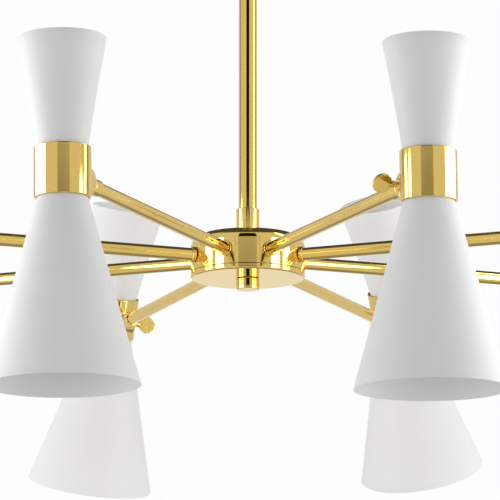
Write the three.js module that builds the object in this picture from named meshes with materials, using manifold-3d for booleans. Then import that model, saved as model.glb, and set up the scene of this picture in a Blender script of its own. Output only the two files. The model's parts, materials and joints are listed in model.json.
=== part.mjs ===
// Eight-arm ceiling chandelier with double-cone lamps.
// Millimetres, +Z up. The origin is the centre of the ceiling face, so the fitting hangs to -Z.
import * as THREE from 'three';
import { mergeVertices } from 'three/addons/utils/BufferGeometryUtils.js';
import Module from 'manifold-3d';

const wasm = await Module();
wasm.setup();

// ---- driving dimensions ----
const CEILING_TO_ARMS = 700;        // ceiling face to the plane of the arm axes
const ARM_COUNT = 8;
const ARM_STEP = 360 / ARM_COUNT;   // degrees between neighbouring arms
const FIRST_ARM_ANGLE = -67.5;      // arm_1, degrees anticlockwise from +X

// Degrees, arm_1 to arm_8. Each arm screws into the hub and stops a little off its even place.
const ARM_SWAY = [0.6, 0, 0, 0.1, -0.8, 0, 0, 0];             // anticlockwise of the even spacing
const ARM_RISE = [-0.33, 0, 0, -0.14, -0.34, 0, 0, 0.21];     // above level
const ARM_ROLL = [0.3, 0, 0, 0.3, 1.5, 0, 0, 0.8];            // about its own length
const REST_TILT = [0, 0, 22, 27.5, 19.5, 22, 0, 0];           // lamp's lower end, outwards of plumb
const SCREW_REST_TURN = [35, 0, 0, 0, 0, 0, 0, 0];            // thumb screw, tightened past upright

const GAP = 0.3;                    // clearance between separate pieces

const ARM_RADIUS = 7;
const ARM_WALL = 1;
const WIRE_BORE = 3;                // radius of the wire passages in rings, spigots and collars
const HUB_RING_RADIUS = 8.5;
const HUB_RING_WIDTH = 4;
const SPIGOT_RADIUS = 5;            // arm end that goes through the drum wall
const SPIGOT_INNER_END = 42;
const COLLAR_START = 380;
const COLLAR_RADIUS = 8.5;

const PIVOT_DISTANCE = 412;         // drum axis to tilt pivot
const LAMP_OFFSET = 44;             // tilt pivot to lamp axis
const KNUCKLE_RADIUS = 12.5;
const KNUCKLE_THICKNESS = 10.75;    // each half of the knuckle
const KNUCKLE_CLEARANCE = 2.5;      // between the knuckle's rim and what faces it
const TONGUE_HALF_WIDTH = 6.5;      // web that carries each knuckle half
const SCREW_RADIUS = 3;

const BAND_RADIUS = 28;
const BAND_HALF_HEIGHT = 25;
const SHEET = 1.2;                  // wall of bands, shades and covers
const NECK_RADIUS = 25.4;           // both shades, where they leave the band
const UPPER_RIM_RADIUS = 43.3;
const UPPER_RIM_HEIGHT = 134;
const LOWER_RIM_RADIUS = 75;
const LOWER_RIM_DEPTH = 208;
const HOLDER_RADIUS = 13.5;
const HOLDER_LENGTH = 58;           // from the middle of the band, each way
const FLANGE_HALF_THICKNESS = 1.2;
const BULB_RADIUS = 22.5;           // round E14 bulb
const BULB_NECK_RADIUS = 10;
const BULB_REACH = 54;              // from the holder's mouth to the top of the bulb

const PADDLE_RADIUS = 10;
const PADDLE_THICKNESS = 3;
const PADDLE_OFFSET = 29;           // arm axis to the middle of the paddle

const DRUM_RADIUS = 62;
const DRUM_TOP = 24.4;              // above the arms
const DRUM_BOTTOM = -22.25;
const DRUM_SHOULDER = 12;
const DRUM_WALL = 1.5;
const COVER_HEIGHT = 6;
const COVER_EDGE = 2.5;             // chamfer round its lower edge
const FINIAL_RADIUS = 12.5;
const FINIAL_HEIGHT = 11.8;
const SPIDER_RADIUS = 50;
const SPIDER_WALL = 10;
const SPIDER_HALF_HEIGHT = 9;
const SPIDER_PLATE = 3;

const ROD_RADIUS = 10;
const ROD_WALL = 1.5;
const ROD_PLUG = 36;                // threaded lower end of the rod
const SLEEVE_RADIUS = 12.5;
const SLEEVE_HEIGHT = 30;
const TIE_RADIUS = 5;
const TIE_BORE = 3;
const CANOPY_RADIUS = 60;
const CANOPY_HEIGHT = 28;
const COLLAR_RING_RADIUS = 16;
const COLLAR_RING_HEIGHT = 12;
const BRACKET_LENGTH = 104;
const BRACKET_WIDTH = 22;
const BRACKET_THICKNESS = 3;
const BRACKET_SCREW_SPACING = 80;
const BRACKET_SCREW_RADIUS = 2.6;
const BOSS_LENGTH = 32;
const PIN_RADIUS = 2;

const LAMP_SIDES = 24;
const ROUND_SIDES = 14;
const SMALL_SIDES = 10;
const BORE_SIDES = 8;

// ---- materials ----
const SATIN_WHITE = { color: 0xf1f0ee, roughness: 0.45, metalness: 0.0 };
const POLISHED_BRASS = { color: 0xd9b56a, roughness: 0.12, metalness: 1.0 };
const ZINC_STEEL = { color: 0xb9bcbe, roughness: 0.4, metalness: 1.0 };
const HOLDER_PLASTIC = { color: 0xe8e4da, roughness: 0.55, metalness: 0.0 };
const TERMINAL_PLASTIC = { color: 0xdfe3e4, roughness: 0.5, metalness: 0.0 };

// ---- shape helpers ----
const radians = THREE.MathUtils.degToRad;
const group = new THREE.Group();

// Closed manifold of a geometry whose shared corners are merged.
function solidOf(geometry) {
  const bare = geometry.index ? geometry.toNonIndexed() : geometry.clone();
  bare.deleteAttribute('normal');
  bare.deleteAttribute('uv');
  const merged = mergeVertices(bare, 1e-4);
  const corners = merged.index.array;
  const kept = [];
  for (let i = 0; i < corners.length; i += 3) {
    const [a, b, c] = [corners[i], corners[i + 1], corners[i + 2]];
    if (a !== b && b !== c && c !== a) kept.push(a, b, c);
  }
  const vertProperties = merged.getAttribute('position').array;
  return new wasm.Manifold(new wasm.Mesh({ numProp: 3, vertProperties, triVerts: new Uint32Array(kept) }));
}

function geometryOf(solid) {
  const { vertProperties, triVerts } = solid.getMesh();
  const geometry = new THREE.BufferGeometry();
  geometry.setAttribute('position', new THREE.BufferAttribute(vertProperties, 3));
  geometry.setIndex(new THREE.BufferAttribute(triVerts, 1));
  geometry.computeVertexNormals();
  return geometry;
}

// Solid of revolution about Z. The outline is a list of [radius, height] that closes on itself
// or starts and ends on the axis; it runs round the section in either sense.
function turned(outline, sides) {
  let area = 0;
  outline.forEach(([r, h], i) => {
    const [nextR, nextH] = outline[(i + 1) % outline.length];
    area += r * nextH - nextR * h;
  });
  const ordered = area > 0 ? outline : [...outline].reverse();
  const onAxis = outline[0][0] === 0;
  const points = (onAxis ? ordered : [...ordered, ordered[0]]).map(([r, h]) => new THREE.Vector2(r, h));
  return new THREE.LatheGeometry(points, sides).rotateX(Math.PI / 2);
}

function ring(inner, outer, low, high, sides) {
  return turned([[inner, low], [outer, low], [outer, high], [inner, high]], sides);
}

function rod(radius, low, high, sides) {
  return turned([[0, low], [radius, low], [radius, high], [0, high]], sides);
}

// Drill for a round hole: its flats, not its corners, lie at the stated radius.
function drill(radius, low, high) {
  return rod(radius / Math.cos(Math.PI / BORE_SIDES), low, high, BORE_SIDES);
}

const alongX = (geometry) => geometry.rotateY(Math.PI / 2);
const alongY = (geometry) => geometry.rotateX(-Math.PI / 2);

function box(x, y, z) {
  const [[x0, x1], [y0, y1], [z0, z1]] = [x, y, z];
  const geometry = new THREE.BoxGeometry(x1 - x0, y1 - y0, z1 - z0);
  return geometry.translate((x0 + x1) / 2, (y0 + y1) / 2, (z0 + z1) / 2);
}

function cut(solid, geometries) {
  return geometries.reduce((rest, geometry) => rest.subtract(solidOf(geometry)), solid);
}

function join(geometries) {
  return geometries.map(solidOf).reduce((whole, piece) => whole.add(piece));
}

function piece(parent, name, solid, look) {
  const mesh = new THREE.Mesh(geometryOf(solid), new THREE.MeshStandardMaterial(look));
  mesh.name = name;
  parent.add(mesh);
  return mesh;
}

// ---- arm: spigot, drum ring, tube, collar and its half of the knuckle, brazed in one ----
function armSolid() {
  const ringFace = DRUM_RADIUS + GAP;
  const collarEnd = PIVOT_DISTANCE - KNUCKLE_RADIUS - KNUCKLE_CLEARANCE;
  const outline = [
    [0, SPIGOT_INNER_END],
    [SPIGOT_RADIUS, SPIGOT_INNER_END],
    [SPIGOT_RADIUS, ringFace],
    [HUB_RING_RADIUS, ringFace],
    [HUB_RING_RADIUS, ringFace + HUB_RING_WIDTH],
    [ARM_RADIUS, ringFace + HUB_RING_WIDTH],
    [ARM_RADIUS, COLLAR_START],
    [COLLAR_RADIUS, COLLAR_START],
    [COLLAR_RADIUS, collarEnd],
    [0, collarEnd],
  ];
  const bore = [
    [0, SPIGOT_INNER_END - 1],
    [WIRE_BORE, SPIGOT_INNER_END - 1],
    [WIRE_BORE, ringFace + HUB_RING_WIDTH],
    [ARM_RADIUS - ARM_WALL, ringFace + HUB_RING_WIDTH + ARM_WALL],
    [ARM_RADIUS - ARM_WALL, COLLAR_START],
    [WIRE_BORE, COLLAR_START + ARM_WALL],
    [WIRE_BORE, collarEnd + 1],
    [0, collarEnd + 1],
  ];
  const face = -GAP / 2;
  const disc = alongY(rod(KNUCKLE_RADIUS, face - KNUCKLE_THICKNESS, face, ROUND_SIDES));
  const tongueSpan = [collarEnd - 2, PIVOT_DISTANCE - 4];
  const tongue = box(tongueSpan, [-TONGUE_HALF_WIDTH, face], [-TONGUE_HALF_WIDTH, TONGUE_HALF_WIDTH]);
  const screwHole = alongY(drill(SCREW_RADIUS + GAP, -2 * KNUCKLE_THICKNESS, KNUCKLE_THICKNESS));
  const whole = join([
    alongX(turned(outline, SMALL_SIDES)),
    disc.translate(PIVOT_DISTANCE, 0, 0),
    tongue,
  ]);
  return cut(whole, [alongX(turned(bore, BORE_SIDES)), screwHole.translate(PIVOT_DISTANCE, 0, 0)]);
}

// ---- thumb screw: shank through both knuckle halves, shoulder, neck and round paddle ----
function thumbScrewSolid() {
  const outerFace = -GAP / 2 - KNUCKLE_THICKNESS - GAP;
  const shoulder = 2;
  const neckRadius = 2.2;
  const beadRadius = 3.4;
  const beadEnd = PADDLE_RADIUS - PADDLE_OFFSET - 1;
  const beadStart = beadEnd + 4;
  const outline = [
    [0, outerFace + 2 * KNUCKLE_THICKNESS - 1],
    [SCREW_RADIUS, outerFace + 2 * KNUCKLE_THICKNESS - 1],
    [SCREW_RADIUS, outerFace],
    [2 * SCREW_RADIUS, outerFace],
    [2 * SCREW_RADIUS, outerFace - shoulder],
    [neckRadius, outerFace - shoulder],
    [neckRadius, beadStart],
    [beadRadius, beadStart],
    [beadRadius, beadEnd],
    [1, PADDLE_RADIUS / 2 - PADDLE_OFFSET],
    [0, PADDLE_RADIUS / 2 - PADDLE_OFFSET],
  ];
  const paddle = alongX(rod(PADDLE_RADIUS, -PADDLE_THICKNESS / 2, PADDLE_THICKNESS / 2, ROUND_SIDES));
  return join([
    alongY(turned(outline, BORE_SIDES)),
    paddle.translate(0, -PADDLE_OFFSET, 0),
  ]);
}

// ---- waist band with the lamp's half of the knuckle; x is measured from the tilt pivot ----
function waistBandSolid() {
  const face = GAP / 2;
  const bandEdge = LAMP_OFFSET - BAND_RADIUS;
  const sleeve = ring(BAND_RADIUS - SHEET, BAND_RADIUS, -BAND_HALF_HEIGHT, BAND_HALF_HEIGHT, LAMP_SIDES);
  const disc = alongY(rod(KNUCKLE_RADIUS, face, face + KNUCKLE_THICKNESS, ROUND_SIDES));
  const tongue = box(
    [4, bandEdge + SHEET],
    [face, TONGUE_HALF_WIDTH],
    [-TONGUE_HALF_WIDTH, TONGUE_HALF_WIDTH],
  );
  const blindHole = alongY(drill(SCREW_RADIUS + GAP, -1, KNUCKLE_THICKNESS - 0.5));
  return cut(join([sleeve.translate(LAMP_OFFSET, 0, 0), disc, tongue]), [blindHole]);
}

// ---- shades: thin cones that stand back to back on the lamp insert's flange ----
function shadeSolid(rimRadius, rimHeight) {
  const foot = FLANGE_HALF_THICKNESS + GAP;
  const slope = (rimRadius - NECK_RADIUS) / (rimHeight - BAND_HALF_HEIGHT);
  const footRadius = NECK_RADIUS - slope * (BAND_HALF_HEIGHT - foot);
  const cornerShare = 1 / Math.cos(Math.PI / LAMP_SIDES);   // flats, not corners, at the stated radius
  const outline = [
    [footRadius - SHEET, foot],
    [footRadius, foot],
    [rimRadius, rimHeight],
    [rimRadius - SHEET, rimHeight],
  ];
  return solidOf(turned(outline.map(([r, h]) => [r * cornerShare, h]), LAMP_SIDES));
}

// ---- lamp insert: two lampholders back to back on one flange, with a round bulb in each ----
function lampInsertSolid() {
  const flangeRadius = BAND_RADIUS - SHEET - GAP;
  const bulbCentre = HOLDER_LENGTH + BULB_REACH - BULB_RADIUS;
  const bulb = [-60, -20, 20, 60].map((latitude) => {
    const angle = radians(latitude);
    return [BULB_RADIUS * Math.cos(angle), bulbCentre + BULB_RADIUS * Math.sin(angle)];
  });
  const upperHalf = [
    [flangeRadius, FLANGE_HALF_THICKNESS],
    [HOLDER_RADIUS, FLANGE_HALF_THICKNESS],
    [HOLDER_RADIUS, HOLDER_LENGTH],
    [BULB_NECK_RADIUS, HOLDER_LENGTH],
    ...bulb,
    [0, HOLDER_LENGTH + BULB_REACH],
  ];
  const lowerHalf = upperHalf.map(([r, h]) => [r, -h]).reverse();
  return solidOf(turned([...lowerHalf, ...upperHalf], SMALL_SIDES));
}

function armTurn(number) {
  const evenAngle = FIRST_ARM_ANGLE + (number - 1) * ARM_STEP;
  return new THREE.Euler(
    radians(ARM_ROLL[number - 1]),
    -radians(ARM_RISE[number - 1]),
    radians(evenAngle + ARM_SWAY[number - 1]),
    'ZYX',
  );
}

function addArm(number) {
  const arm = new THREE.Group();
  arm.position.z = -CEILING_TO_ARMS;
  arm.rotation.copy(armTurn(number));
  group.add(arm);
  piece(arm, `arm_${number}`, armSolid(), POLISHED_BRASS);

  const knuckle = new THREE.Group();
  knuckle.position.x = PIVOT_DISTANCE;
  arm.add(knuckle);
  const thumbScrew = piece(knuckle, `thumb_screw_${number}`, thumbScrewSolid(), POLISHED_BRASS);
  thumbScrew.rotation.y = radians(SCREW_REST_TURN[number - 1]);

  const lamp = new THREE.Group();
  lamp.rotation.y = -radians(REST_TILT[number - 1] - ARM_RISE[number - 1]);
  knuckle.add(lamp);
  piece(lamp, `waist_band_${number}`, waistBandSolid(), POLISHED_BRASS);

  const upper = shadeSolid(UPPER_RIM_RADIUS, UPPER_RIM_HEIGHT);
  const lower = shadeSolid(LOWER_RIM_RADIUS, LOWER_RIM_DEPTH);
  const upperShade = piece(lamp, `upper_shade_${number}`, upper, SATIN_WHITE);
  const lowerShade = piece(lamp, `lower_shade_${number}`, lower, SATIN_WHITE);
  const insert = piece(lamp, `lamp_insert_${number}`, lampInsertSolid(), HOLDER_PLASTIC);
  lowerShade.rotation.x = Math.PI;
  [upperShade, lowerShade, insert].forEach((part) => {
    part.position.x = LAMP_OFFSET;
  });
}

// ---- drum hub, hung on the rod by a threaded tie tube ----
function atEachArm(makeGeometry) {
  return Array.from({ length: ARM_COUNT }, (_, i) => {
    const turn = new THREE.Matrix4().makeRotationFromEuler(armTurn(i + 1));
    return makeGeometry().applyMatrix4(turn);
  });
}

function spigotHoles(from, to) {
  return atEachArm(() => alongX(drill(SPIGOT_RADIUS + GAP, from, to)));
}

function hubShellSolid() {
  const top = DRUM_TOP;
  const bottom = DRUM_BOTTOM + COVER_HEIGHT + GAP;
  const shoulderSteps = 5;
  const centre = [DRUM_RADIUS - DRUM_SHOULDER, top - DRUM_SHOULDER];
  const shoulder = (radius) => Array.from({ length: shoulderSteps + 1 }, (_, i) => {
    const angle = (Math.PI / 2) * (i / shoulderSteps);
    return [centre[0] + radius * Math.cos(angle), centre[1] + radius * Math.sin(angle)];
  });
  const outline = [
    [DRUM_RADIUS - DRUM_WALL, bottom],
    [DRUM_RADIUS, bottom],
    ...shoulder(DRUM_SHOULDER),
    [TIE_RADIUS + GAP, top],
    [TIE_RADIUS + GAP, top - DRUM_WALL],
    ...shoulder(DRUM_SHOULDER - DRUM_WALL).reverse(),
  ];
  return cut(solidOf(turned(outline, LAMP_SIDES)), spigotHoles(DRUM_RADIUS - 8, DRUM_RADIUS + 2));
}

function hubCoverSolid() {
  const bottom = DRUM_BOTTOM;
  const hole = TIE_RADIUS + GAP;
  return solidOf(turned([
    [hole, bottom],
    [DRUM_RADIUS - COVER_EDGE, bottom],
    [DRUM_RADIUS, bottom + COVER_EDGE],
    [DRUM_RADIUS, bottom + COVER_HEIGHT],
    [DRUM_RADIUS - DRUM_WALL, bottom + COVER_HEIGHT],
    [DRUM_RADIUS - DRUM_WALL, bottom + COVER_EDGE + DRUM_WALL],
    [DRUM_RADIUS - DRUM_WALL - COVER_EDGE, bottom + DRUM_WALL],
    [hole, bottom + DRUM_WALL],
  ], LAMP_SIDES));
}

function hubSpiderSolid() {
  const high = SPIDER_HALF_HEIGHT;
  const inner = SPIDER_RADIUS - SPIDER_WALL;
  const outline = [
    [TIE_RADIUS + GAP, high - SPIDER_PLATE],
    [inner, high - SPIDER_PLATE],
    [inner, -high],
    [SPIDER_RADIUS, -high],
    [SPIDER_RADIUS, high],
    [TIE_RADIUS + GAP, high],
  ];
  return cut(solidOf(turned(outline, LAMP_SIDES)), spigotHoles(inner - 4, SPIDER_RADIUS + 4));
}

function terminalBlockSolid() {
  const wayPitch = 9;
  const [front, back] = [12, 24];
  const top = SPIDER_HALF_HEIGHT - SPIDER_PLATE - GAP;
  const block = solidOf(box([front, back], [-13.5, 13.5], [top - 14, top]));
  const ways = [-wayPitch, 0, wayPitch].map((y) => {
    return alongX(drill(2, front - 1, back + 1)).translate(0, y, top - 8);
  });
  return cut(block, ways);
}

function finialSolid() {
  const top = DRUM_BOTTOM - GAP;
  const threadDepth = 9;
  return solidOf(turned([
    [0, top - FINIAL_HEIGHT],
    [FINIAL_RADIUS, top - FINIAL_HEIGHT],
    [FINIAL_RADIUS, top],
    [TIE_RADIUS + GAP, top],
    [TIE_RADIUS + GAP, top - threadDepth],
    [0, top - threadDepth],
  ], LAMP_SIDES));
}

function tieTubeSolid() {
  const low = DRUM_BOTTOM - 8;
  const high = DRUM_TOP + ROD_PLUG - 2;
  return solidOf(ring(TIE_BORE, TIE_RADIUS, low, high, SMALL_SIDES));
}

function addHub() {
  const hub = new THREE.Group();
  hub.position.z = -CEILING_TO_ARMS;
  group.add(hub);
  const sleeveFoot = DRUM_TOP + GAP;
  const sleeve = ring(ROD_RADIUS + GAP, SLEEVE_RADIUS, sleeveFoot, sleeveFoot + SLEEVE_HEIGHT, LAMP_SIDES);
  piece(hub, 'hub_shell', hubShellSolid(), POLISHED_BRASS);
  piece(hub, 'hub_cover', hubCoverSolid(), POLISHED_BRASS);
  piece(hub, 'hub_spider', hubSpiderSolid(), ZINC_STEEL);
  piece(hub, 'terminal_block', terminalBlockSolid(), TERMINAL_PLASTIC);
  piece(hub, 'hub_tie_tube', tieTubeSolid(), ZINC_STEEL);
  piece(hub, 'finial', finialSolid(), POLISHED_BRASS);
  piece(hub, 'stem_sleeve', solidOf(sleeve), POLISHED_BRASS);
}

// ---- stem and ceiling fitting ----
function stemRodSolid() {
  const low = -CEILING_TO_ARMS + DRUM_TOP + GAP;
  const high = -BRACKET_THICKNESS - GAP;
  const bore = ROD_RADIUS - ROD_WALL;
  const tube = solidOf(turned([
    [TIE_RADIUS + GAP, low],
    [ROD_RADIUS, low],
    [ROD_RADIUS, high],
    [bore, high],
    [bore, low + ROD_PLUG],
    [TIE_RADIUS + GAP, low + ROD_PLUG],
  ], ROUND_SIDES));
  const pinHole = alongY(drill(PIN_RADIUS + GAP, -ROD_RADIUS - 1, ROD_RADIUS + 1));
  return cut(tube, [pinHole.translate(0, 0, -BOSS_LENGTH / 2)]);
}

function ceilingBracketSolid() {
  const strap = box(
    [-BRACKET_LENGTH / 2, BRACKET_LENGTH / 2],
    [-BRACKET_WIDTH / 2, BRACKET_WIDTH / 2],
    [-BRACKET_THICKNESS, 0],
  );
  const boss = rod(ROD_RADIUS - ROD_WALL - GAP, -BOSS_LENGTH, -BRACKET_THICKNESS / 2, ROUND_SIDES);
  const screwHoles = [-1, 1].map((side) => {
    const hole = drill(BRACKET_SCREW_RADIUS, -BRACKET_THICKNESS - 1, 1);
    return hole.translate((side * BRACKET_SCREW_SPACING) / 2, 0, 0);
  });
  const pinHole = alongY(drill(PIN_RADIUS + GAP, -BRACKET_WIDTH, BRACKET_WIDTH));
  return cut(join([strap, boss]), [...screwHoles, pinHole.translate(0, 0, -BOSS_LENGTH / 2)]);
}

function canopySolid() {
  const shoulder = 8;
  const hole = ROD_RADIUS + GAP;
  return solidOf(turned([
    [CANOPY_RADIUS - SHEET, 0],
    [CANOPY_RADIUS, 0],
    [CANOPY_RADIUS, -CANOPY_HEIGHT + shoulder],
    [CANOPY_RADIUS - shoulder, -CANOPY_HEIGHT],
    [hole, -CANOPY_HEIGHT],
    [hole, -CANOPY_HEIGHT + SHEET],
    [CANOPY_RADIUS - shoulder - SHEET / 2, -CANOPY_HEIGHT + SHEET],
    [CANOPY_RADIUS - SHEET, -CANOPY_HEIGHT + shoulder + SHEET / 2],
  ], LAMP_SIDES));
}

function addCeilingFitting() {
  const ringTop = -CANOPY_HEIGHT - GAP;
  const ringFoot = ringTop - COLLAR_RING_HEIGHT;
  const canopyRing = ring(ROD_RADIUS + GAP, COLLAR_RING_RADIUS, ringFoot, ringTop, LAMP_SIDES);
  const pin = rod(PIN_RADIUS, -ROD_RADIUS - 2, ROD_RADIUS + 2, BORE_SIDES);
  piece(group, 'ceiling_bracket', ceilingBracketSolid(), ZINC_STEEL);
  piece(group, 'stem_cross_pin', solidOf(alongY(pin)), ZINC_STEEL).position.z = -BOSS_LENGTH / 2;
  piece(group, 'canopy', canopySolid(), POLISHED_BRASS);
  piece(group, 'canopy_collar', solidOf(canopyRing), POLISHED_BRASS);
  piece(group, 'stem_rod', stemRodSolid(), POLISHED_BRASS);
}

addCeilingFitting();
addHub();
for (let number = 1; number <= ARM_COUNT; number += 1) addArm(number);

export default group;
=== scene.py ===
import json
import math

import bpy
from mathutils import Matrix, Vector


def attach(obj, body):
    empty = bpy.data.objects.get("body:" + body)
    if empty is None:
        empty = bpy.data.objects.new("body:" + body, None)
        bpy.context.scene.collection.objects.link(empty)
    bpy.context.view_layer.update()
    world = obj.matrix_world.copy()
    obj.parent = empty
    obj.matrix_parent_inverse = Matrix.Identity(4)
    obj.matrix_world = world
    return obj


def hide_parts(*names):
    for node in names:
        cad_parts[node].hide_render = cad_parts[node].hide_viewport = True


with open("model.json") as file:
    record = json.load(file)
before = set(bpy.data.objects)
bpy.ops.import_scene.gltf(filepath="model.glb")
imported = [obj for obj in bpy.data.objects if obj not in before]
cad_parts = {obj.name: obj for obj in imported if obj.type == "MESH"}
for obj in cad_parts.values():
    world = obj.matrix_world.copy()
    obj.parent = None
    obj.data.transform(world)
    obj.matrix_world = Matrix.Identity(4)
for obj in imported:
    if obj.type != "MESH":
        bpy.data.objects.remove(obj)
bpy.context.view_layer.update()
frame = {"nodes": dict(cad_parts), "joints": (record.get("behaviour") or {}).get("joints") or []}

MM = 0.001
LAMPS = range(1, 9)
HUB_BODY = "fixture"
HUB_HEIGHT = -0.7     # the arms' axes below the ceiling, in metres

# ---- sizes in millimetres, as in the CAD model ----
GAP = 0.3
ARM_RADIUS, ARM_BORE = 7.0, 6.0
HUB_RING_RADIUS, HUB_RING_WIDTH = 8.5, 4.0
SPIGOT_RADIUS, SPIGOT_INNER_END, WIRE_BORE = 5.0, 42.0, 3.0
PIVOT_DISTANCE, LAMP_OFFSET = 412.0, 44.0
KNUCKLE_RADIUS, KNUCKLE_THICKNESS = 12.5, 10.75
KNUCKLE_CLEARANCE = 2.5
COLLAR_START, COLLAR_RADIUS = 380.0, 8.5
COLLAR_END = PIVOT_DISTANCE - KNUCKLE_RADIUS - KNUCKLE_CLEARANCE
SCREW_RADIUS = 3.0
BAND_RADIUS, BAND_HALF_HEIGHT, SHEET = 28.0, 25.0, 1.2
NECK_RADIUS = 25.4
UPPER_RIM_RADIUS, UPPER_RIM_HEIGHT = 43.3, 134.0
LOWER_RIM_RADIUS, LOWER_RIM_DEPTH = 75.0, 208.0
HOLDER_RADIUS, HOLDER_LENGTH = 13.5, 58.0
BULB_RADIUS, BULB_REACH, BULB_NECK = 22.5, 54.0, 9.5
PADDLE_RADIUS, PADDLE_THICKNESS, PADDLE_OFFSET = 10.0, 3.0, 29.0
SCREW_REST_TURN = {1: 35}
DRUM_RADIUS, DRUM_TOP, DRUM_BOTTOM, DRUM_SHOULDER, DRUM_WALL = 62.0, 24.4, -22.25, 12.0, 1.5
COVER_HEIGHT, COVER_EDGE = 6.0, 2.5
FINIAL_RADIUS, FINIAL_HEIGHT = 12.5, 11.8
ROD_RADIUS, ROD_WALL = 10.0, 1.5
ROD_CLEARANCE = ROD_RADIUS + GAP
SLEEVE_RADIUS, SLEEVE_HEIGHT = 12.5, 30.0
TIE_RADIUS = 5.0
CANOPY_RADIUS, CANOPY_HEIGHT = 60.0, 28.0
COLLAR_RING_RADIUS, COLLAR_RING_HEIGHT = 16.0, 12.0
BRACKET_THICKNESS = 3.0

# ---- shapes finer than in the CAD model, in millimetres ----
CHEEK_DOME, BLIND_WALL = 1.3, 1.2
DOME_BEND_OUT, DOME_BEND_DOWN, DOME_BEND_RADIUS = 0.62, 0.3, 6.0     # the first two as shares
TONGUE_START, TONGUE_SIDE, TONGUE_HALF_HEIGHT, TONGUE_BEVEL, TONGUE_INSET = 4.0, 6.2, 6.0, 1.2, 0.4
SCREW_WASHER_RADIUS, SCREW_WASHER_THICKNESS = 6.0, 2.0
SCREW_NECK_RADIUS, SCREW_BOSS_RADIUS, SCREW_TIP_RADIUS = 2.2, 3.4, 1.4
SCREW_NECK_END, SCREW_BOSS_START, SCREW_BOSS_END, SCREW_TIP = 3.2, 2.6, -0.4, -4.5   # from the paddle's edge
ROLLED_DEPTH, ROLLED_SLOPE = 1.6, 1.0
UPPER_FLARE, LOWER_FLARE = 0.9, 0.4
HOLDER_BORE, SOCKET_DEPTH = 4.0, 12.0
HOLDER_BASE_HEIGHT, RIB_START, RIB_FULL, RIB_END, BARREL_START = 12.0, 14.0, 16.0, 21.0, 22.0
BASE_INSET, RIB_START_INSET, BARREL_INSET = 2.2, 1.2, 0.6
BULB_BASE_DEPTH, BULB_NECK_START, BULB_NECK_END, BULB_NECK_FLARE = 8.0, 1.0, 5.0, 0.1

# ---- how finely round shapes are divided ----
SMALL_ROUND, ROUND, LARGE_ROUND, DRUM_ROUND = 64, 96, 128, 160
SMOOTH_ANGLE = math.radians(40)
TINY = 1e-6


# ---- frames: the lamps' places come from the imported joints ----
joints = {joint["name"]: joint for joint in frame["joints"]}


def tilt_joint(n):
    return joints[f"lamp_tilt_{n}"]


def arm_frame(n):
    """Origin on the drum axis at the height of the arms, X outwards along the arm, Z up."""
    hub = Vector((0, 0, HUB_HEIGHT))
    outward = (Vector(tilt_joint(n)["pos_m"]) - hub).normalized()
    sideways = -Vector(tilt_joint(n)["axis"]).normalized()
    return frame_of(hub, outward, sideways)


def frame_of(origin, x_axis, y_axis):
    z_axis = x_axis.cross(y_axis)
    axes = Matrix((x_axis, y_axis, z_axis)).transposed().to_4x4()
    return Matrix.Translation(origin) @ axes


def screw_frame(n):
    """Origin at the tilt pivot, X outwards, Y along the pivot."""
    return arm_frame(n) @ Matrix.Translation((PIVOT_DISTANCE * MM, 0, 0))


def lamp_frame(n):
    """As screw_frame, leaned over by the lamp's tilt at rest: half way between its limits is upright."""
    low, high = tilt_joint(n)["range_deg"]
    rest_tilt = -math.radians((low + high) / 2)
    return screw_frame(n) @ Matrix.Rotation(-rest_tilt, 4, "Y")


def lamp_axis_frame(n):
    return lamp_frame(n) @ Matrix.Translation((LAMP_OFFSET * MM, 0, 0))


HUB_FRAME = Matrix.Translation((0, 0, HUB_HEIGHT))
ALONG_X = Matrix.Rotation(math.pi / 2, 4, "Y")
ALONG_Y = Matrix.Rotation(-math.pi / 2, 4, "X")
UPSIDE_DOWN = Matrix.Rotation(math.pi, 4, "X")


# ---- outlines ----
LONGEST_CURVE = 0.45     # of the shorter side next to a corner
HOLD, HOLD_SHARE, HOLD_LEAST = 0.25, 1.1, 0.02


def rounded(outline, radius, steps=5, closed=True):
    """The outline with its corners rounded. A corner's third number is its own radius. A holding
    point just past each curve keeps the flats flat."""
    points = [Vector(p[:2]) for p in outline]
    radii = [p[2] if len(p) > 2 else radius for p in outline]
    count = len(points)
    result = []
    for i, corner in enumerate(points):
        at_end = not closed and i in (0, count - 1)
        back = points[i - 1] - corner
        ahead = points[(i + 1) % count] - corner
        if at_end or radii[i] <= 0:
            result.append(corner.copy())
            continue
        half_angle = back.angle(ahead) / 2
        reach = radii[i] / math.tan(half_angle)
        reach = min(reach, LONGEST_CURVE * min(back.length, ahead.length))
        bend = reach * math.tan(half_angle)
        back.normalize()
        ahead.normalize()
        centre = corner + (back + ahead).normalized() * (bend / math.sin(half_angle))
        start = corner + back * reach - centre
        turn = math.pi - 2 * half_angle
        sense = 1 if back.x * ahead.y - back.y * ahead.x < 0 else -1
        hold = min(reach + HOLD, HOLD_SHARE * reach + HOLD_LEAST)
        result.append(corner + back * hold)
        for k in range(steps + 1):
            angle = sense * turn * k / steps
            cosine, sine = math.cos(angle), math.sin(angle)
            x = start.x * cosine - start.y * sine
            y = start.x * sine + start.y * cosine
            result.append(centre + Vector((x, y)))
        result.append(corner + ahead * hold)
    return [tuple(p) for p in result]


def mesh_object(name, vertices, faces, place, material, body):
    mesh = bpy.data.meshes.new(name)
    mesh.from_pydata([place @ (Vector(v) * MM) for v in vertices], [], faces)
    mesh.validate()
    mesh.polygons.foreach_set("use_smooth", [True] * len(mesh.polygons))
    mesh.set_sharp_from_angle(angle=SMOOTH_ANGLE)
    mesh.materials.append(material)
    obj = bpy.data.objects.new(name, mesh)
    bpy.context.scene.collection.objects.link(obj)
    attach(obj, body)
    return obj


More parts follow.
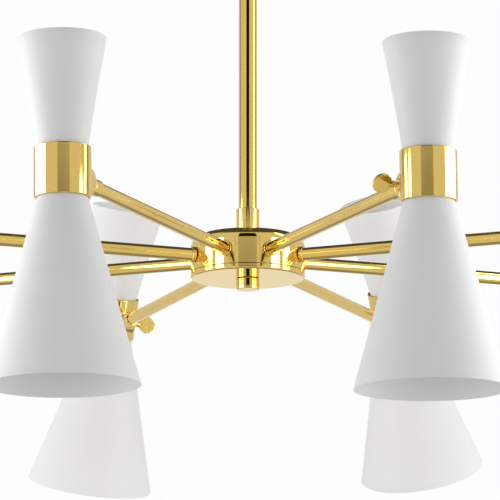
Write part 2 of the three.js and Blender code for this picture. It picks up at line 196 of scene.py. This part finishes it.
def lathe(name, outline, place, material, body, sides=ROUND):
    """A solid of revolution about local Z. The outline closes on itself, or runs from axis to axis."""
    on_axis = abs(outline[0][0]) < TINY
    area = sum(a[0] * b[1] - b[0] * a[1] for a, b in zip(outline, outline[1:] + outline[:1]))
    profile = outline if area > 0 else outline[::-1]
    vertices, rows = [], []
    for radius, height in profile:
        if radius < TINY:
            rows.append([len(vertices)] * sides)
            vertices.append((0, 0, height))
            continue
        rows.append([len(vertices) + k for k in range(sides)])
        for k in range(sides):
            angle = 2 * math.pi * k / sides
            vertices.append((radius * math.cos(angle), radius * math.sin(angle), height))
    pairs = list(zip(rows, rows[1:] + ([] if on_axis else rows[:1])))
    faces = []
    for low, high in pairs:
        for k in range(sides):
            m = (k + 1) % sides
            corners = [low[k], low[m], high[m], high[k]]
            face = [c for i, c in enumerate(corners) if c != corners[i - 1]]
            if len(face) > 2:
                faces.append(face)
    return mesh_object(name, vertices, faces, place, material, body)


def slab(name, outline, low, high, bevel, place, material, body):
    """A plate: a flat outline in local XY, from low to high along Z, with rounded edges."""
    count = len(outline)
    vertices = [(x, y, z) for z in (low, high) for x, y in outline]
    faces = [list(range(count))[::-1], list(range(count, 2 * count))]
    faces += [[k, (k + 1) % count, count + (k + 1) % count, count + k] for k in range(count)]
    obj = mesh_object(name, vertices, faces, Matrix.Identity(4), material, body)
    edge = obj.modifiers.new("rounded_edges", "BEVEL")
    edge.width = bevel * MM
    edge.segments = 4
    edge.limit_method = "ANGLE"
    edge.angle_limit = math.radians(50)
    edge.harden_normals = True
    depsgraph = bpy.context.evaluated_depsgraph_get()
    finished = bpy.data.meshes.new_from_object(obj.evaluated_get(depsgraph))
    obj.modifiers.clear()
    finished.transform(place)
    obj.data = finished
    return obj


# ---- materials ----
def new_material(name):
    material = bpy.data.materials.new(name)
    material.use_nodes = True
    nodes, links = material.node_tree.nodes, material.node_tree.links
    return material, nodes, links, nodes["Principled BSDF"]


def noise(nodes, links, scale, detail=3.0):
    """Noise in the object's own space; scale is in features per metre."""
    place = nodes.new("ShaderNodeTexCoord")
    texture = nodes.new("ShaderNodeTexNoise")
    texture.inputs["Scale"].default_value = scale
    texture.inputs["Detail"].default_value = detail
    links.new(place.outputs["Object"], texture.inputs["Vector"])
    return texture.outputs["Fac"]


def ramp(nodes, links, source, stops):
    """Colour ramp from (position, value or colour) stops."""
    node = nodes.new("ShaderNodeValToRGB")
    elements = node.color_ramp.elements
    while len(elements) < len(stops):
        elements.new(0.5)
    for element, (position, value) in zip(elements, stops):
        element.position = position
        element.color = (*value, 1) if isinstance(value, tuple) else (value, value, value, 1)
    links.new(source, node.inputs["Fac"])
    return node.outputs["Color"]


def bump(nodes, links, shader, height, strength, distance, after=None):
    node = nodes.new("ShaderNodeBump")
    node.inputs["Strength"].default_value = strength
    node.inputs["Distance"].default_value = distance
    links.new(height, node.inputs["Height"])
    if after is not None:
        links.new(after, node.inputs["Normal"])
    links.new(node.outputs["Normal"], shader.inputs["Normal"])
    return node.outputs["Normal"]


def brass(name, tone, roughness, waviness):
    """Polished, lacquered brass: slight colour drift, faint polishing haze and a barely wavy surface."""
    material, nodes, links, shader = new_material(name)
    darker = tuple(0.965 * c for c in tone)
    drift = noise(nodes, links, scale=18, detail=4)
    links.new(ramp(nodes, links, drift, [(0.35, darker), (0.65, tone)]), shader.inputs["Base Color"])
    haze = noise(nodes, links, scale=260, detail=5)
    polish = ramp(nodes, links, haze, [(0.3, roughness * 0.8), (0.75, roughness * 1.35)])
    links.new(polish, shader.inputs["Roughness"])
    shader.inputs["Metallic"].default_value = 1.0
    swell = noise(nodes, links, scale=60, detail=2)
    waves = bump(nodes, links, shader, swell, strength=waviness, distance=0.00015)
    scuff = noise(nodes, links, scale=2400, detail=2)
    bump(nodes, links, shader, scuff, strength=0.015, distance=0.00002, after=waves)
    return material


def satin_paint(name, tone, roughness):
    """Stoved satin enamel: fine orange peel and faint mottling of tone and gloss."""
    material, nodes, links, shader = new_material(name)
    darker = tuple(0.975 * c for c in tone)
    mottle = noise(nodes, links, scale=9, detail=4)
    links.new(ramp(nodes, links, mottle, [(0.35, darker), (0.65, tone)]), shader.inputs["Base Color"])
    sheen = noise(nodes, links, scale=700, detail=3)
    gloss = ramp(nodes, links, sheen, [(0.3, roughness * 0.9), (0.7, roughness * 1.1)])
    links.new(gloss, shader.inputs["Roughness"])
    shader.inputs["Specular IOR Level"].default_value = 0.25
    orange_peel = noise(nodes, links, scale=900, detail=2)
    peel = bump(nodes, links, shader, orange_peel, strength=0.12, distance=0.00006)
    dust = noise(nodes, links, scale=3500, detail=2)
    bump(nodes, links, shader, dust, strength=0.06, distance=0.00002, after=peel)
    return material


def plastic(name, tone, roughness):
    """Moulded plastic with a faint cloud of tone and a fine grain."""
    material, nodes, links, shader = new_material(name)
    darker = tuple(0.94 * c for c in tone)
    cloud = noise(nodes, links, scale=40, detail=3)
    links.new(ramp(nodes, links, cloud, [(0.3, darker), (0.7, tone)]), shader.inputs["Base Color"])
    grain = noise(nodes, links, scale=2600, detail=2)
    gloss = ramp(nodes, links, grain, [(0.3, roughness * 0.85), (0.7, roughness * 1.1)])
    links.new(gloss, shader.inputs["Roughness"])
    bump(nodes, links, shader, grain, strength=0.15, distance=0.00005)
    return material


def zinc(name):
    """Zinc-plated steel with a dull spangle."""
    material, nodes, links, shader = new_material(name)
    cells = nodes.new("ShaderNodeTexVoronoi")
    cells.inputs["Scale"].default_value = 220
    place = nodes.new("ShaderNodeTexCoord")
    links.new(place.outputs["Object"], cells.inputs["Vector"])
    spangle = cells.outputs["Distance"]
    dark, light = (0.5, 0.51, 0.52), (0.62, 0.63, 0.64)
    links.new(ramp(nodes, links, spangle, [(0.0, dark), (0.8, light)]), shader.inputs["Base Color"])
    links.new(ramp(nodes, links, spangle, [(0, 0.3), (1, 0.5)]), shader.inputs["Roughness"])
    shader.inputs["Metallic"].default_value = 1.0
    bump(nodes, links, shader, noise(nodes, links, scale=1500), strength=0.2, distance=0.00003)
    return material


def opal_glass(name):
    """White-coated bulb glass: smooth and glossy over a milky body."""
    material, nodes, links, shader = new_material(name)
    dark, light = (0.86, 0.86, 0.84), (0.9, 0.9, 0.88)
    cloud = noise(nodes, links, scale=30, detail=2)
    links.new(ramp(nodes, links, cloud, [(0.3, dark), (0.7, light)]), shader.inputs["Base Color"])
    gloss = ramp(nodes, links, noise(nodes, links, scale=300), [(0.3, 0.1), (0.7, 0.16)])
    links.new(gloss, shader.inputs["Roughness"])
    shader.inputs["Subsurface Weight"].default_value = 0.2
    shader.inputs["Subsurface Radius"].default_value = (0.003, 0.003, 0.003)
    ripple = noise(nodes, links, scale=120, detail=1)
    bump(nodes, links, shader, ripple, strength=0.03, distance=0.0001)
    return material


BRASS_TONE = (0.87, 0.625, 0.185)
BRASS = brass("polished_brass", BRASS_TONE, roughness=0.06, waviness=0.02)
COVER_BRASS = brass("mirror_brass", BRASS_TONE, roughness=0.04, waviness=0.015)
WHITE = satin_paint("satin_white_enamel", (0.89, 0.89, 0.895), roughness=0.6)
HOLDER = plastic("holder_plastic", (0.86, 0.84, 0.78), roughness=0.5)
TERMINAL = plastic("terminal_plastic", (0.82, 0.84, 0.84), roughness=0.45)
ZINC = zinc("zinc_steel")
OPAL = opal_glass("opal_bulb_glass")


def brass_piece(obj, node):
    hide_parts(node)


# ---- lamps ----
def shade_outline(rim_radius, rim_height, flare):
    """A thin cone from the flange to the rim, its side bowed inwards by flare at mid height."""
    foot = SHEET + GAP
    slope = (rim_radius - NECK_RADIUS) / (rim_height - BAND_HALF_HEIGHT)
    steps = 14

    def side(offset):
        points = []
        for k in range(steps + 1):
            share = k / steps
            height = foot + (rim_height - foot) * share
            bow = flare * 4 * share * (1 - share)
            points.append((rim_radius - slope * (rim_height - height) - bow - offset, height))
        return points

    outer, inner = side(0), side(SHEET)
    lip = SHEET / 2
    centre = (rim_radius - lip, rim_height - lip)
    hem = [
        (centre[0] + lip * math.cos(math.radians(a)), centre[1] + lip * math.sin(math.radians(a)))
        for a in range(0, 181, 30)
    ]
    return outer[:-1] + hem + inner[:-1][::-1]


def add_shades(n):
    axis = lamp_axis_frame(n)
    upper = shade_outline(UPPER_RIM_RADIUS, UPPER_RIM_HEIGHT, UPPER_FLARE)
    lower = shade_outline(LOWER_RIM_RADIUS, LOWER_RIM_DEPTH, LOWER_FLARE)
    for name, outline, place in (("upper_shade", upper, axis), ("lower_shade", lower, axis @ UPSIDE_DOWN)):
        shade = lathe(f"{name}_{n}", outline, place, WHITE, f"lamp_{n}", sides=LARGE_ROUND)
        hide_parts(f"{name}_{n}")


def add_waist_band(n):
    """A tube with rolled ends that grip the shades' necks, and its half of the knuckle."""
    body = f"lamp_{n}"
    end, lip = BAND_HALF_HEIGHT, 0.55
    grip = NECK_RADIUS + GAP
    bore = BAND_RADIUS - SHEET
    roll = end - ROLLED_DEPTH
    outline = rounded([
        (BAND_RADIUS, -end, 0.9), (BAND_RADIUS, end, 0.9), (grip, end, lip),
        (grip, roll, 0.3), (bore, roll - ROLLED_SLOPE, 0.3),
        (bore, ROLLED_SLOPE - roll, 0.3), (grip, -roll, 0.3), (grip, -end, lip),
    ], radius=0.5)
    band = lathe(f"waist_band_{n}", outline, lamp_axis_frame(n), BRASS, body, sides=LARGE_ROUND)
    brass_piece(band, f"waist_band_{n}")
    face = GAP / 2
    add_knuckle_half(n, "lamp", face, face + KNUCKLE_THICKNESS, lamp_frame(n), body)
    root = LAMP_OFFSET - BAND_RADIUS + 1.0
    add_knuckle_tongue(
        n, "lamp", (TONGUE_START, root), (face + TONGUE_INSET, TONGUE_SIDE), lamp_frame(n), body,
    )


def knuckle_node(n, side):
    return f"waist_band_{n}" if side == "lamp" else f"arm_{n}"


def add_knuckle_tongue(n, side, along, across, place, body):
    """The bar that ties a cheek of the knuckle to its band or to its arm."""
    (x0, x1), (y0, y1) = along, across
    outline = [(x0, y0), (x1, y0), (x1, y1), (x0, y1)]
    name = f"{side}_knuckle_tongue_{n}"
    tongue = slab(name, outline, -TONGUE_HALF_HEIGHT, TONGUE_HALF_HEIGHT, TONGUE_BEVEL, place, BRASS, body)
    brass_piece(tongue, knuckle_node(n, side))


def add_knuckle_half(n, side, low, high, place, body):
    """One of the two round cheeks that the thumb screw clamps together, its outer face a low dome.
    The screw passes through the arm's half and ends in a blind hole in the lamp's half."""
    inner, outer = (low, high) if side == "lamp" else (high, low)
    rim = outer + math.copysign(CHEEK_DOME, inner - outer)
    hole = SCREW_RADIUS + GAP
    face = [
        (hole, inner, 0.1), (KNUCKLE_RADIUS, inner, 0.4), (KNUCKLE_RADIUS, rim, 0.5),
        (DOME_BEND_OUT * KNUCKLE_RADIUS, outer + DOME_BEND_DOWN * (rim - outer), DOME_BEND_RADIUS),
    ]
    if side == "lamp":
        bottom = outer - BLIND_WALL
        blind = [(0, bottom), (hole, bottom, 0.2), *face, (0, outer)]
        outline = rounded(blind, radius=0.5, steps=6, closed=False)
    else:
        outline = rounded([*face, (hole, outer, 0.1)], radius=0.5, steps=6)
    cheek = lathe(f"{side}_knuckle_{n}", outline, place @ ALONG_Y, BRASS, body, sides=SMALL_ROUND)
    brass_piece(cheek, knuckle_node(n, side))


def add_lamp_insert(n):
    """Two lampholders back to back on a flange, each with a round bulb."""
    axis = lamp_axis_frame(n)
    body = f"lamp_{n}"
    edge = BAND_RADIUS - SHEET - GAP
    flange = rounded([(HOLDER_BORE, -SHEET), (edge, -SHEET), (edge, SHEET), (HOLDER_BORE, SHEET)], radius=0.3)
    plate = lathe(f"holder_flange_{n}", flange, axis, ZINC, body, sides=SMALL_ROUND)
    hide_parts(f"lamp_insert_{n}")
    for end, place in (("upper", axis), ("lower", axis @ UPSIDE_DOWN)):
        case = lathe(f"{end}_lampholder_{n}", holder_outline(), place, HOLDER, body, sides=SMALL_ROUND)
        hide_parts(f"lamp_insert_{n}")
        bulb = lathe(f"{end}_bulb_{n}", bulb_outline(), place, OPAL, body, sides=SMALL_ROUND)
        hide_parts(f"lamp_insert_{n}")


def holder_outline():
    """A narrow base, a raised rib and a plain barrel, with a socket in its mouth."""
    foot = SHEET + 0.05
    base, barrel = HOLDER_RADIUS - BASE_INSET, HOLDER_RADIUS - BARREL_INSET
    mouth = BULB_NECK + 0.6
    socket_floor = HOLDER_LENGTH - SOCKET_DEPTH
    rib = [
        (HOLDER_RADIUS - RIB_START_INSET, foot + RIB_START),
        (HOLDER_RADIUS, foot + RIB_FULL), (HOLDER_RADIUS, foot + RIB_END),
    ]
    return rounded([
        (HOLDER_BORE, foot), (base, foot), (base, foot + HOLDER_BASE_HEIGHT), *rib,
        (barrel, foot + BARREL_START), (barrel, HOLDER_LENGTH), (mouth, HOLDER_LENGTH),
        (mouth, socket_floor), (HOLDER_BORE, socket_floor),
    ], radius=0.5)


def bulb_outline():
    """Base, neck and round envelope, from the axis inside the holder to the crown."""
    centre = HOLDER_LENGTH + BULB_REACH - BULB_RADIUS
    neck_angle, step = -62, 4
    ball = [
        (BULB_RADIUS * math.cos(math.radians(a)), centre + BULB_RADIUS * math.sin(math.radians(a)))
        for a in range(neck_angle, 90, step)
    ]
    neck_foot = HOLDER_LENGTH - BULB_BASE_DEPTH
    neck = [
        (BULB_NECK, neck_foot), (BULB_NECK, HOLDER_LENGTH + BULB_NECK_START),
        (BULB_NECK + BULB_NECK_FLARE, HOLDER_LENGTH + BULB_NECK_END),
    ]
    return [(0, neck_foot), *neck, *ball, (0, centre + BULB_RADIUS)]


def add_thumb_screw(n):
    """A shank with a washer face under a thin neck, and a boss that holds the round flat paddle."""
    body = f"clamp_screw_{n}"
    rest_turn = math.radians(SCREW_REST_TURN.get(n, 0))
    place = screw_frame(n) @ Matrix.Rotation(rest_turn, 4, "Y")
    shank_end = KNUCKLE_THICKNESS - 2
    face = -GAP / 2 - KNUCKLE_THICKNESS - GAP
    washer = face - SCREW_WASHER_THICKNESS
    edge = PADDLE_RADIUS - PADDLE_OFFSET
    tip = edge + SCREW_TIP
    shank = rounded([
        (0, shank_end), (SCREW_RADIUS, shank_end, 0.4), (SCREW_RADIUS, face, 0.1),
        (SCREW_WASHER_RADIUS, face, 0.3), (SCREW_WASHER_RADIUS, washer, 0.8),
        (SCREW_NECK_RADIUS, washer, 0.6), (SCREW_NECK_RADIUS, edge + SCREW_NECK_END, 0.5),
        (SCREW_BOSS_RADIUS, edge + SCREW_BOSS_START, 0.9), (SCREW_BOSS_RADIUS, edge + SCREW_BOSS_END, 1.2),
        (SCREW_TIP_RADIUS, tip, 0.4), (0, tip),
    ], radius=0.4, closed=False)
    stem = lathe(f"thumb_screw_stem_{n}", shank, place @ ALONG_Y, BRASS, body, sides=SMALL_ROUND)
    brass_piece(stem, f"thumb_screw_{n}")
    half = PADDLE_THICKNESS / 2
    disc = rounded([
        (0, -half), (PADDLE_RADIUS, -half, 0.9), (PADDLE_RADIUS, half, 0.9), (0, half),
    ], radius=0.6, closed=False)
    spot = place @ Matrix.Translation((0, -PADDLE_OFFSET * MM, 0)) @ ALONG_X
    paddle = lathe(f"thumb_screw_paddle_{n}", disc, spot, BRASS, body, sides=SMALL_ROUND)
    brass_piece(paddle, f"thumb_screw_{n}")


# ---- arms ----
def add_arm(n):
    """Tube, drum ring, hollow spigot and end collar, all turned about the arm, and half a knuckle."""
    place = arm_frame(n) @ ALONG_X
    ring_face = DRUM_RADIUS + GAP
    ring_end = ring_face + HUB_RING_WIDTH
    tube_start, tube_end = ring_face + 1, COLLAR_START + 4
    tube = rounded([
        (ARM_BORE, tube_start), (ARM_RADIUS, tube_start), (ARM_RADIUS, tube_end), (ARM_BORE, tube_end),
    ], radius=0.1)
    seat, ring_back = ARM_RADIUS - 0.3, ring_face + 1.4
    ring = rounded([
        (WIRE_BORE, ring_face), (HUB_RING_RADIUS, ring_face, 0.6), (HUB_RING_RADIUS, ring_end, 1.0),
        (seat, ring_end, 0.2), (seat, ring_back, 0.1), (WIRE_BORE, ring_back, 0.1),
    ], radius=0.4)
    spigot_end = ring_face + 0.5
    spigot = rounded([
        (WIRE_BORE, SPIGOT_INNER_END), (SPIGOT_RADIUS, SPIGOT_INNER_END, 0.5),
        (SPIGOT_RADIUS, spigot_end, 0.1), (WIRE_BORE, spigot_end, 0.1),
    ], radius=0.3)
    plug, plug_end = ARM_RADIUS - 0.2, COLLAR_START + 3
    collar = rounded([
        (0, plug_end), (plug, plug_end, 0.1), (plug, COLLAR_START, 0.1),
        (COLLAR_RADIUS, COLLAR_START, 0.9), (COLLAR_RADIUS, COLLAR_END, 1.2), (0, COLLAR_END),
    ], radius=0.4, closed=False)
    for name, outline in (("tube", tube), ("ring", ring), ("spigot", spigot), ("collar", collar)):
        turned = lathe(f"arm_{name}_{n}", outline, place, BRASS, HUB_BODY, sides=SMALL_ROUND)
        brass_piece(turned, f"arm_{n}")
    face = -GAP / 2
    add_knuckle_half(n, "arm", face - KNUCKLE_THICKNESS, face, screw_frame(n), HUB_BODY)
    root = COLLAR_END - 4 - PIVOT_DISTANCE
    add_knuckle_tongue(
        n, "arm", (root, -TONGUE_START), (-TONGUE_SIDE, face - TONGUE_INSET), screw_frame(n), HUB_BODY,
    )


# ---- hub ----
def add_hub():
    """Drum, bottom cover and finial below, and the sleeve at the foot of the stem."""
    cover_top = DRUM_BOTTOM + COVER_HEIGHT
    shell_foot = cover_top + GAP
    hole = TIE_RADIUS + GAP
    bore = DRUM_RADIUS - DRUM_WALL
    roof = DRUM_TOP - DRUM_WALL
    shell = rounded([
        (bore, shell_foot, 0.3), (DRUM_RADIUS, shell_foot, 0.6), (DRUM_RADIUS, DRUM_TOP, DRUM_SHOULDER),
        (hole, DRUM_TOP, 0.2), (hole, roof, 0.2), (bore, roof, DRUM_SHOULDER - DRUM_WALL),
    ], radius=0.3, steps=16)
    brass_piece(lathe("hub_shell", shell, HUB_FRAME, BRASS, HUB_BODY, sides=DRUM_ROUND), "hub_shell")
    floor = DRUM_BOTTOM + DRUM_WALL
    cover = rounded([
        (hole, DRUM_BOTTOM, 0.2), (DRUM_RADIUS, DRUM_BOTTOM, COVER_EDGE), (DRUM_RADIUS, cover_top, 0.6),
        (bore, cover_top, 0.3), (bore, floor, COVER_EDGE - 1), (hole, floor, 0.2),
    ], radius=0.3, steps=10)
    brass_piece(lathe("hub_cover", cover, HUB_FRAME, COVER_BRASS, HUB_BODY, sides=DRUM_ROUND), "hub_cover")
    cap = DRUM_BOTTOM - GAP
    tip = cap - FINIAL_HEIGHT
    finial = rounded([
        (0, cap), (FINIAL_RADIUS, cap, 0.8), (FINIAL_RADIUS, tip, 0.9), (0, tip),
    ], radius=0.5, closed=False)
    brass_piece(lathe("finial", finial, HUB_FRAME, BRASS, HUB_BODY), "finial")
    foot = DRUM_TOP + GAP
    head = foot + SLEEVE_HEIGHT
    sleeve = rounded([
        (ROD_CLEARANCE, foot), (SLEEVE_RADIUS, foot, 0.4),
        (SLEEVE_RADIUS, head, 0.8), (ROD_CLEARANCE, head, 0.3),
    ], radius=0.3)
    brass_piece(lathe("stem_sleeve", sleeve, HUB_FRAME, BRASS, HUB_BODY), "stem_sleeve")


# ---- stem and ceiling fitting ----
def add_stem():
    """The rod from the drum to the bracket, the canopy dish and the collar that holds it up."""
    ceiling = Matrix.Identity(4)
    low = HUB_HEIGHT / MM + DRUM_TOP + GAP
    high = -BRACKET_THICKNESS - GAP
    bore = ROD_RADIUS - ROD_WALL
    tube = rounded([(bore, low), (ROD_RADIUS, low), (ROD_RADIUS, high), (bore, high)], radius=0.3)
    brass_piece(lathe("stem_rod", tube, ceiling, BRASS, HUB_BODY), "stem_rod")
    shoulder = 8.0
    inside = CANOPY_RADIUS - SHEET
    floor = SHEET - CANOPY_HEIGHT
    dish = rounded([
        (inside, 0, 0.2), (CANOPY_RADIUS, 0, 0.4), (CANOPY_RADIUS, -CANOPY_HEIGHT, shoulder),
        (ROD_CLEARANCE, -CANOPY_HEIGHT, 0.3), (ROD_CLEARANCE, floor, 0.2), (inside, floor, shoulder - SHEET),
    ], radius=0.3, steps=10)
    brass_piece(lathe("canopy", dish, ceiling, BRASS, HUB_BODY, sides=LARGE_ROUND), "canopy")
    top = -CANOPY_HEIGHT - GAP
    foot = top - COLLAR_RING_HEIGHT
    ring = rounded([
        (ROD_CLEARANCE, top), (COLLAR_RING_RADIUS, top, 0.8),
        (COLLAR_RING_RADIUS, foot, 0.8), (ROD_CLEARANCE, foot),
    ], radius=0.4)
    brass_piece(lathe("canopy_collar", ring, ceiling, BRASS, HUB_BODY), "canopy_collar")


def dress_hidden_nodes():
    """The CAD pieces that stay in view as they are, each in its own material."""
    looks = {
        "ceiling_bracket": ZINC, "stem_cross_pin": ZINC, "hub_spider": ZINC,
        "hub_tie_tube": ZINC, "terminal_block": TERMINAL,
    }
    for name, material in looks.items():
        for material_slot in frame["nodes"][name].material_slots:
            material_slot.material = material


# ---- studio, in metres ----
FLOOR_HEIGHT, FLOOR_REACH = -3.2, 40
WHITE_LEVEL = 0.985
# What polished brass reflects, by angle. Round the walls, degrees run from straight ahead (-Y) to
# the back on both sides. In height they run from straight down to straight up, horizon at 90.
WALL_LEVELS = [(0, 0.76), (128, 0.75), (165, 0.72), (175, 0.92)]
CEILING_FADE = [(0, 1), (142, 1), (150, 0.12), (180, 0.1)]
GROUND_FADE = [(0, 0.45), (20, 0.45), (27, 1), (180, 1)]
CEILING_LEAN, GROUND_LEAN = 0.2, 0.285     # how much nearer both come at the back
# Upright panels that only reflections see, as two ends (x, y), a foot and a top.
SOFT_BOX = ((0.727, -0.654), (0.7, 0), -1.1, -0.487)
SOFT_BOX_LEVEL = 5.5
STRIP = ((0.8, -0.2), (0.8, -0.02), -0.46, 0.4)
STRIP_LEVEL = 5.0
DARK_STRIP = ((0.8, 0.14), (0.8, 0.32), -0.46, 0.4)
DARK_STRIP_LEVEL = 0.15
WINDOW = ((-0.5, -1.5), (0.5, -1.5), -1.3, 0.9)
WINDOW_LEVELS = [
    (0, 0.3), (0.07, 0.01), (0.211, 0.01), (0.268, 0.3), (0.372, 0.35), (0.392, 0.43), (0.41, 0.49),
    (0.42, 0.56), (0.438, 0.57), (0.442, 0.01), (1, 0.01),
]
# Light that reaches matt surfaces: even, with the back of the room brighter than the front, and
# three soft panels (place, size, direction they face, brightness).
SOFT_LEVEL, SOFT_LEAN = 0.58, 0.24
SOFT_PANELS = [
    ((-1.8, -0.35, -0.7), (2.0, 3.0), (1, 0, 0), 1.07),
    ((1.8, -0.35, -0.7), (2.0, 3.0), (-1, 0, 0), 1.07),
    ((0, -0.1, -0.75), (2.2, 1.6), (0, 1, 0), 0.26),
]


def add_floor():
    """A pale floor, below the view from the camera and left out of reflections."""
    corners = [(x, y, FLOOR_HEIGHT) for x, y in (
        (-FLOOR_REACH, -FLOOR_REACH), (FLOOR_REACH, -FLOOR_REACH),
        (FLOOR_REACH, FLOOR_REACH), (-FLOOR_REACH, FLOOR_REACH),
    )]
    mesh = bpy.data.meshes.new("floor")
    mesh.from_pydata(corners, [], [(0, 1, 2, 3)])
    material, nodes, links, shader = new_material("studio_floor")
    shader.inputs["Base Color"].default_value = (0.92, 0.92, 0.91, 1)
    shader.inputs["Roughness"].default_value = 0.8
    mesh.materials.append(material)
    floor = bpy.data.objects.new("floor", mesh)
    bpy.context.scene.collection.objects.link(floor)
    floor.visible_glossy = False


def add_studio_light():
    """Three rooms in one world: plain white for the eye, an even soft light for matt surfaces, and
    pale walls under a dark ceiling for polished ones."""
    world = bpy.data.worlds.new("studio")
    bpy.context.scene.world = world
    world.use_nodes = True
    nodes, links = world.node_tree.nodes, world.node_tree.links
    nodes.clear()
    place = nodes.new("ShaderNodeTexCoord")
    axes = nodes.new("ShaderNodeSeparateXYZ")
    links.new(place.outputs["Generated"], axes.inputs["Vector"])

    def math_node(operation, *values):
        node = nodes.new("ShaderNodeMath")
        node.operation = operation
        for socket, value in zip(node.inputs, values):
            if isinstance(value, (int, float)):
                socket.default_value = value
            else:
                links.new(value, socket)
        return node.outputs["Value"]

    def levels(position, stops):
        """Brightness by angle: stops are (degrees, level)."""
        return ramp(nodes, links, position, [(degrees / 180, level) for degrees, level in stops])

    forward = math_node("MULTIPLY", axes.outputs["Y"], -1)
    azimuth = math_node("ABSOLUTE", math_node("ARCTAN2", axes.outputs["X"], forward))
    around = math_node("DIVIDE", azimuth, math.pi)
    elevation = math_node("ARCSINE", axes.outputs["Z"])
    climb = math_node("ADD", math_node("DIVIDE", elevation, math.pi), 0.5)
    towards_back = math_node("MAXIMUM", axes.outputs["Y"], 0)
    ceiling = levels(math_node("MULTIPLY_ADD", towards_back, CEILING_LEAN, climb), CEILING_FADE)
    ground = levels(math_node("MULTIPLY_ADD", towards_back, -GROUND_LEAN, climb), GROUND_FADE)
    walls = math_node("MULTIPLY", levels(around, WALL_LEVELS), ceiling)
    reflected = math_node("MULTIPLY", walls, ground)
    soft = math_node("MULTIPLY_ADD", axes.outputs["Y"], SOFT_LEAN, SOFT_LEVEL)

    def room(level, strength=None):
        node = nodes.new("ShaderNodeBackground")
        node.inputs["Color"].default_value = (level, level, level, 1)
        if strength is not None:
            links.new(strength, node.inputs["Strength"])
        return node

    mirror_room, soft_room, white_room = room(1, reflected), room(1, soft), room(WHITE_LEVEL)
    light_path = nodes.new("ShaderNodeLightPath")

    def choose(ray, otherwise, chosen):
        node = nodes.new("ShaderNodeMixShader")
        links.new(light_path.outputs[ray], node.inputs["Fac"])
        links.new(otherwise, node.inputs[1])
        links.new(chosen.outputs["Background"], node.inputs[2])
        return node.outputs["Shader"]

    for_matt = soft_room.outputs["Background"]
    for_all = choose("Is Camera Ray", choose("Is Glossy Ray", for_matt, mirror_room), white_room)
    output = nodes.new("ShaderNodeOutputWorld")
    links.new(for_all, output.inputs["Surface"])
    bpy.context.scene.view_settings.view_transform = "Standard"


def reflected_panel(name, span, level=1.0, height_levels=None):
    """An upright glowing panel, seen only in reflections; its brightness may change with height."""
    (x0, y0), (x1, y1), foot, top = span
    mesh = bpy.data.meshes.new(name)
    corners = [(x0, y0, foot), (x1, y1, foot), (x1, y1, top), (x0, y0, top)]
    mesh.from_pydata(corners, [], [(0, 1, 2, 3)])
    material, nodes, links, shader = new_material(name)
    shader.inputs["Base Color"].default_value = (0, 0, 0, 1)
    shader.inputs["Roughness"].default_value = 1.0
    shader.inputs["Specular IOR Level"].default_value = 0.0
    shader.inputs["Emission Color"].default_value = (1, 1, 1, 1)
    shader.inputs["Emission Strength"].default_value = level
    if height_levels:
        place = nodes.new("ShaderNodeTexCoord")
        axes = nodes.new("ShaderNodeSeparateXYZ")
        links.new(place.outputs["Generated"], axes.inputs["Vector"])
        links.new(ramp(nodes, links, axes.outputs["Z"], height_levels), shader.inputs["Emission Color"])
    mesh.materials.append(material)
    panel = bpy.data.objects.new(name, mesh)
    panel.visible_camera = panel.visible_diffuse = panel.visible_shadow = False
    bpy.context.scene.collection.objects.link(panel)


def add_reflected_panels():
    for name, side in (("left", -1), ("right", 1)):
        reflected_panel(f"soft_box_{name}", on_side(side, SOFT_BOX), level=SOFT_BOX_LEVEL)
        reflected_panel(f"dark_strip_{name}", on_side(side, DARK_STRIP), level=DARK_STRIP_LEVEL)
    reflected_panel("bright_strip", STRIP, level=STRIP_LEVEL)
    reflected_panel("window", WINDOW, height_levels=WINDOW_LEVELS)


def on_side(side, span):
    (x0, y0), (x1, y1), foot, top = span
    return (side * x0, y0), (side * x1, y1), foot, top


def add_soft_panels():
    for i, (place, (width, height), facing, level) in enumerate(SOFT_PANELS):
        data = bpy.data.lights.new(f"soft_panel_{i}", "AREA")
        data.shape = "RECTANGLE"
        data.size, data.size_y = width, height
        data.energy = level * math.pi * width * height
        light = bpy.data.objects.new(data.name, data)
        light.location = place
        light.rotation_mode = "QUATERNION"
        light.rotation_quaternion = Vector(facing).to_track_quat("-Z", "Z")
        light.visible_camera = light.visible_glossy = False
        bpy.context.scene.collection.objects.link(light)


LENS, SENSOR = 243.8496, 36                     # in millimetres
CAMERA_DISTANCE = 3.682                         # from the hub
CAMERA_BELOW, CAMERA_TO_RIGHT = math.radians(11.211), math.radians(0.61)
AIM_RIGHT, AIM_UP = 0.00236, 0.00956            # from the hub, across the view


def add_camera():
    """A long lens below the arms, looking up at the hub."""
    data = bpy.data.cameras.new("camera")
    data.sensor_width = SENSOR
    data.lens = LENS
    data.clip_end = 200
    level = math.cos(CAMERA_BELOW)
    back = Vector((
        math.sin(CAMERA_TO_RIGHT) * level, -math.cos(CAMERA_TO_RIGHT) * level, -math.sin(CAMERA_BELOW),
    ))
    rotation = (-back).to_track_quat("-Z", "Y")
    right, up = rotation @ Vector((1, 0, 0)), rotation @ Vector((0, 1, 0))
    hub = Vector((0, 0, HUB_HEIGHT))
    aim = hub + right * AIM_RIGHT + up * AIM_UP
    camera = bpy.data.objects.new("camera", data)
    camera.location = hub + back * CAMERA_DISTANCE
    camera.rotation_mode = "QUATERNION"
    camera.rotation_quaternion = (aim - camera.location).to_track_quat("-Z", "Y")
    bpy.context.scene.collection.objects.link(camera)
    bpy.context.scene.camera = camera


add_camera()
add_floor()
add_studio_light()
add_reflected_panels()
add_soft_panels()
dress_hidden_nodes()
add_stem()
add_hub()
for number in LAMPS:
    add_arm(number)
    add_thumb_screw(number)
    add_waist_band(number)
    add_shades(number)
    add_lamp_insert(number)
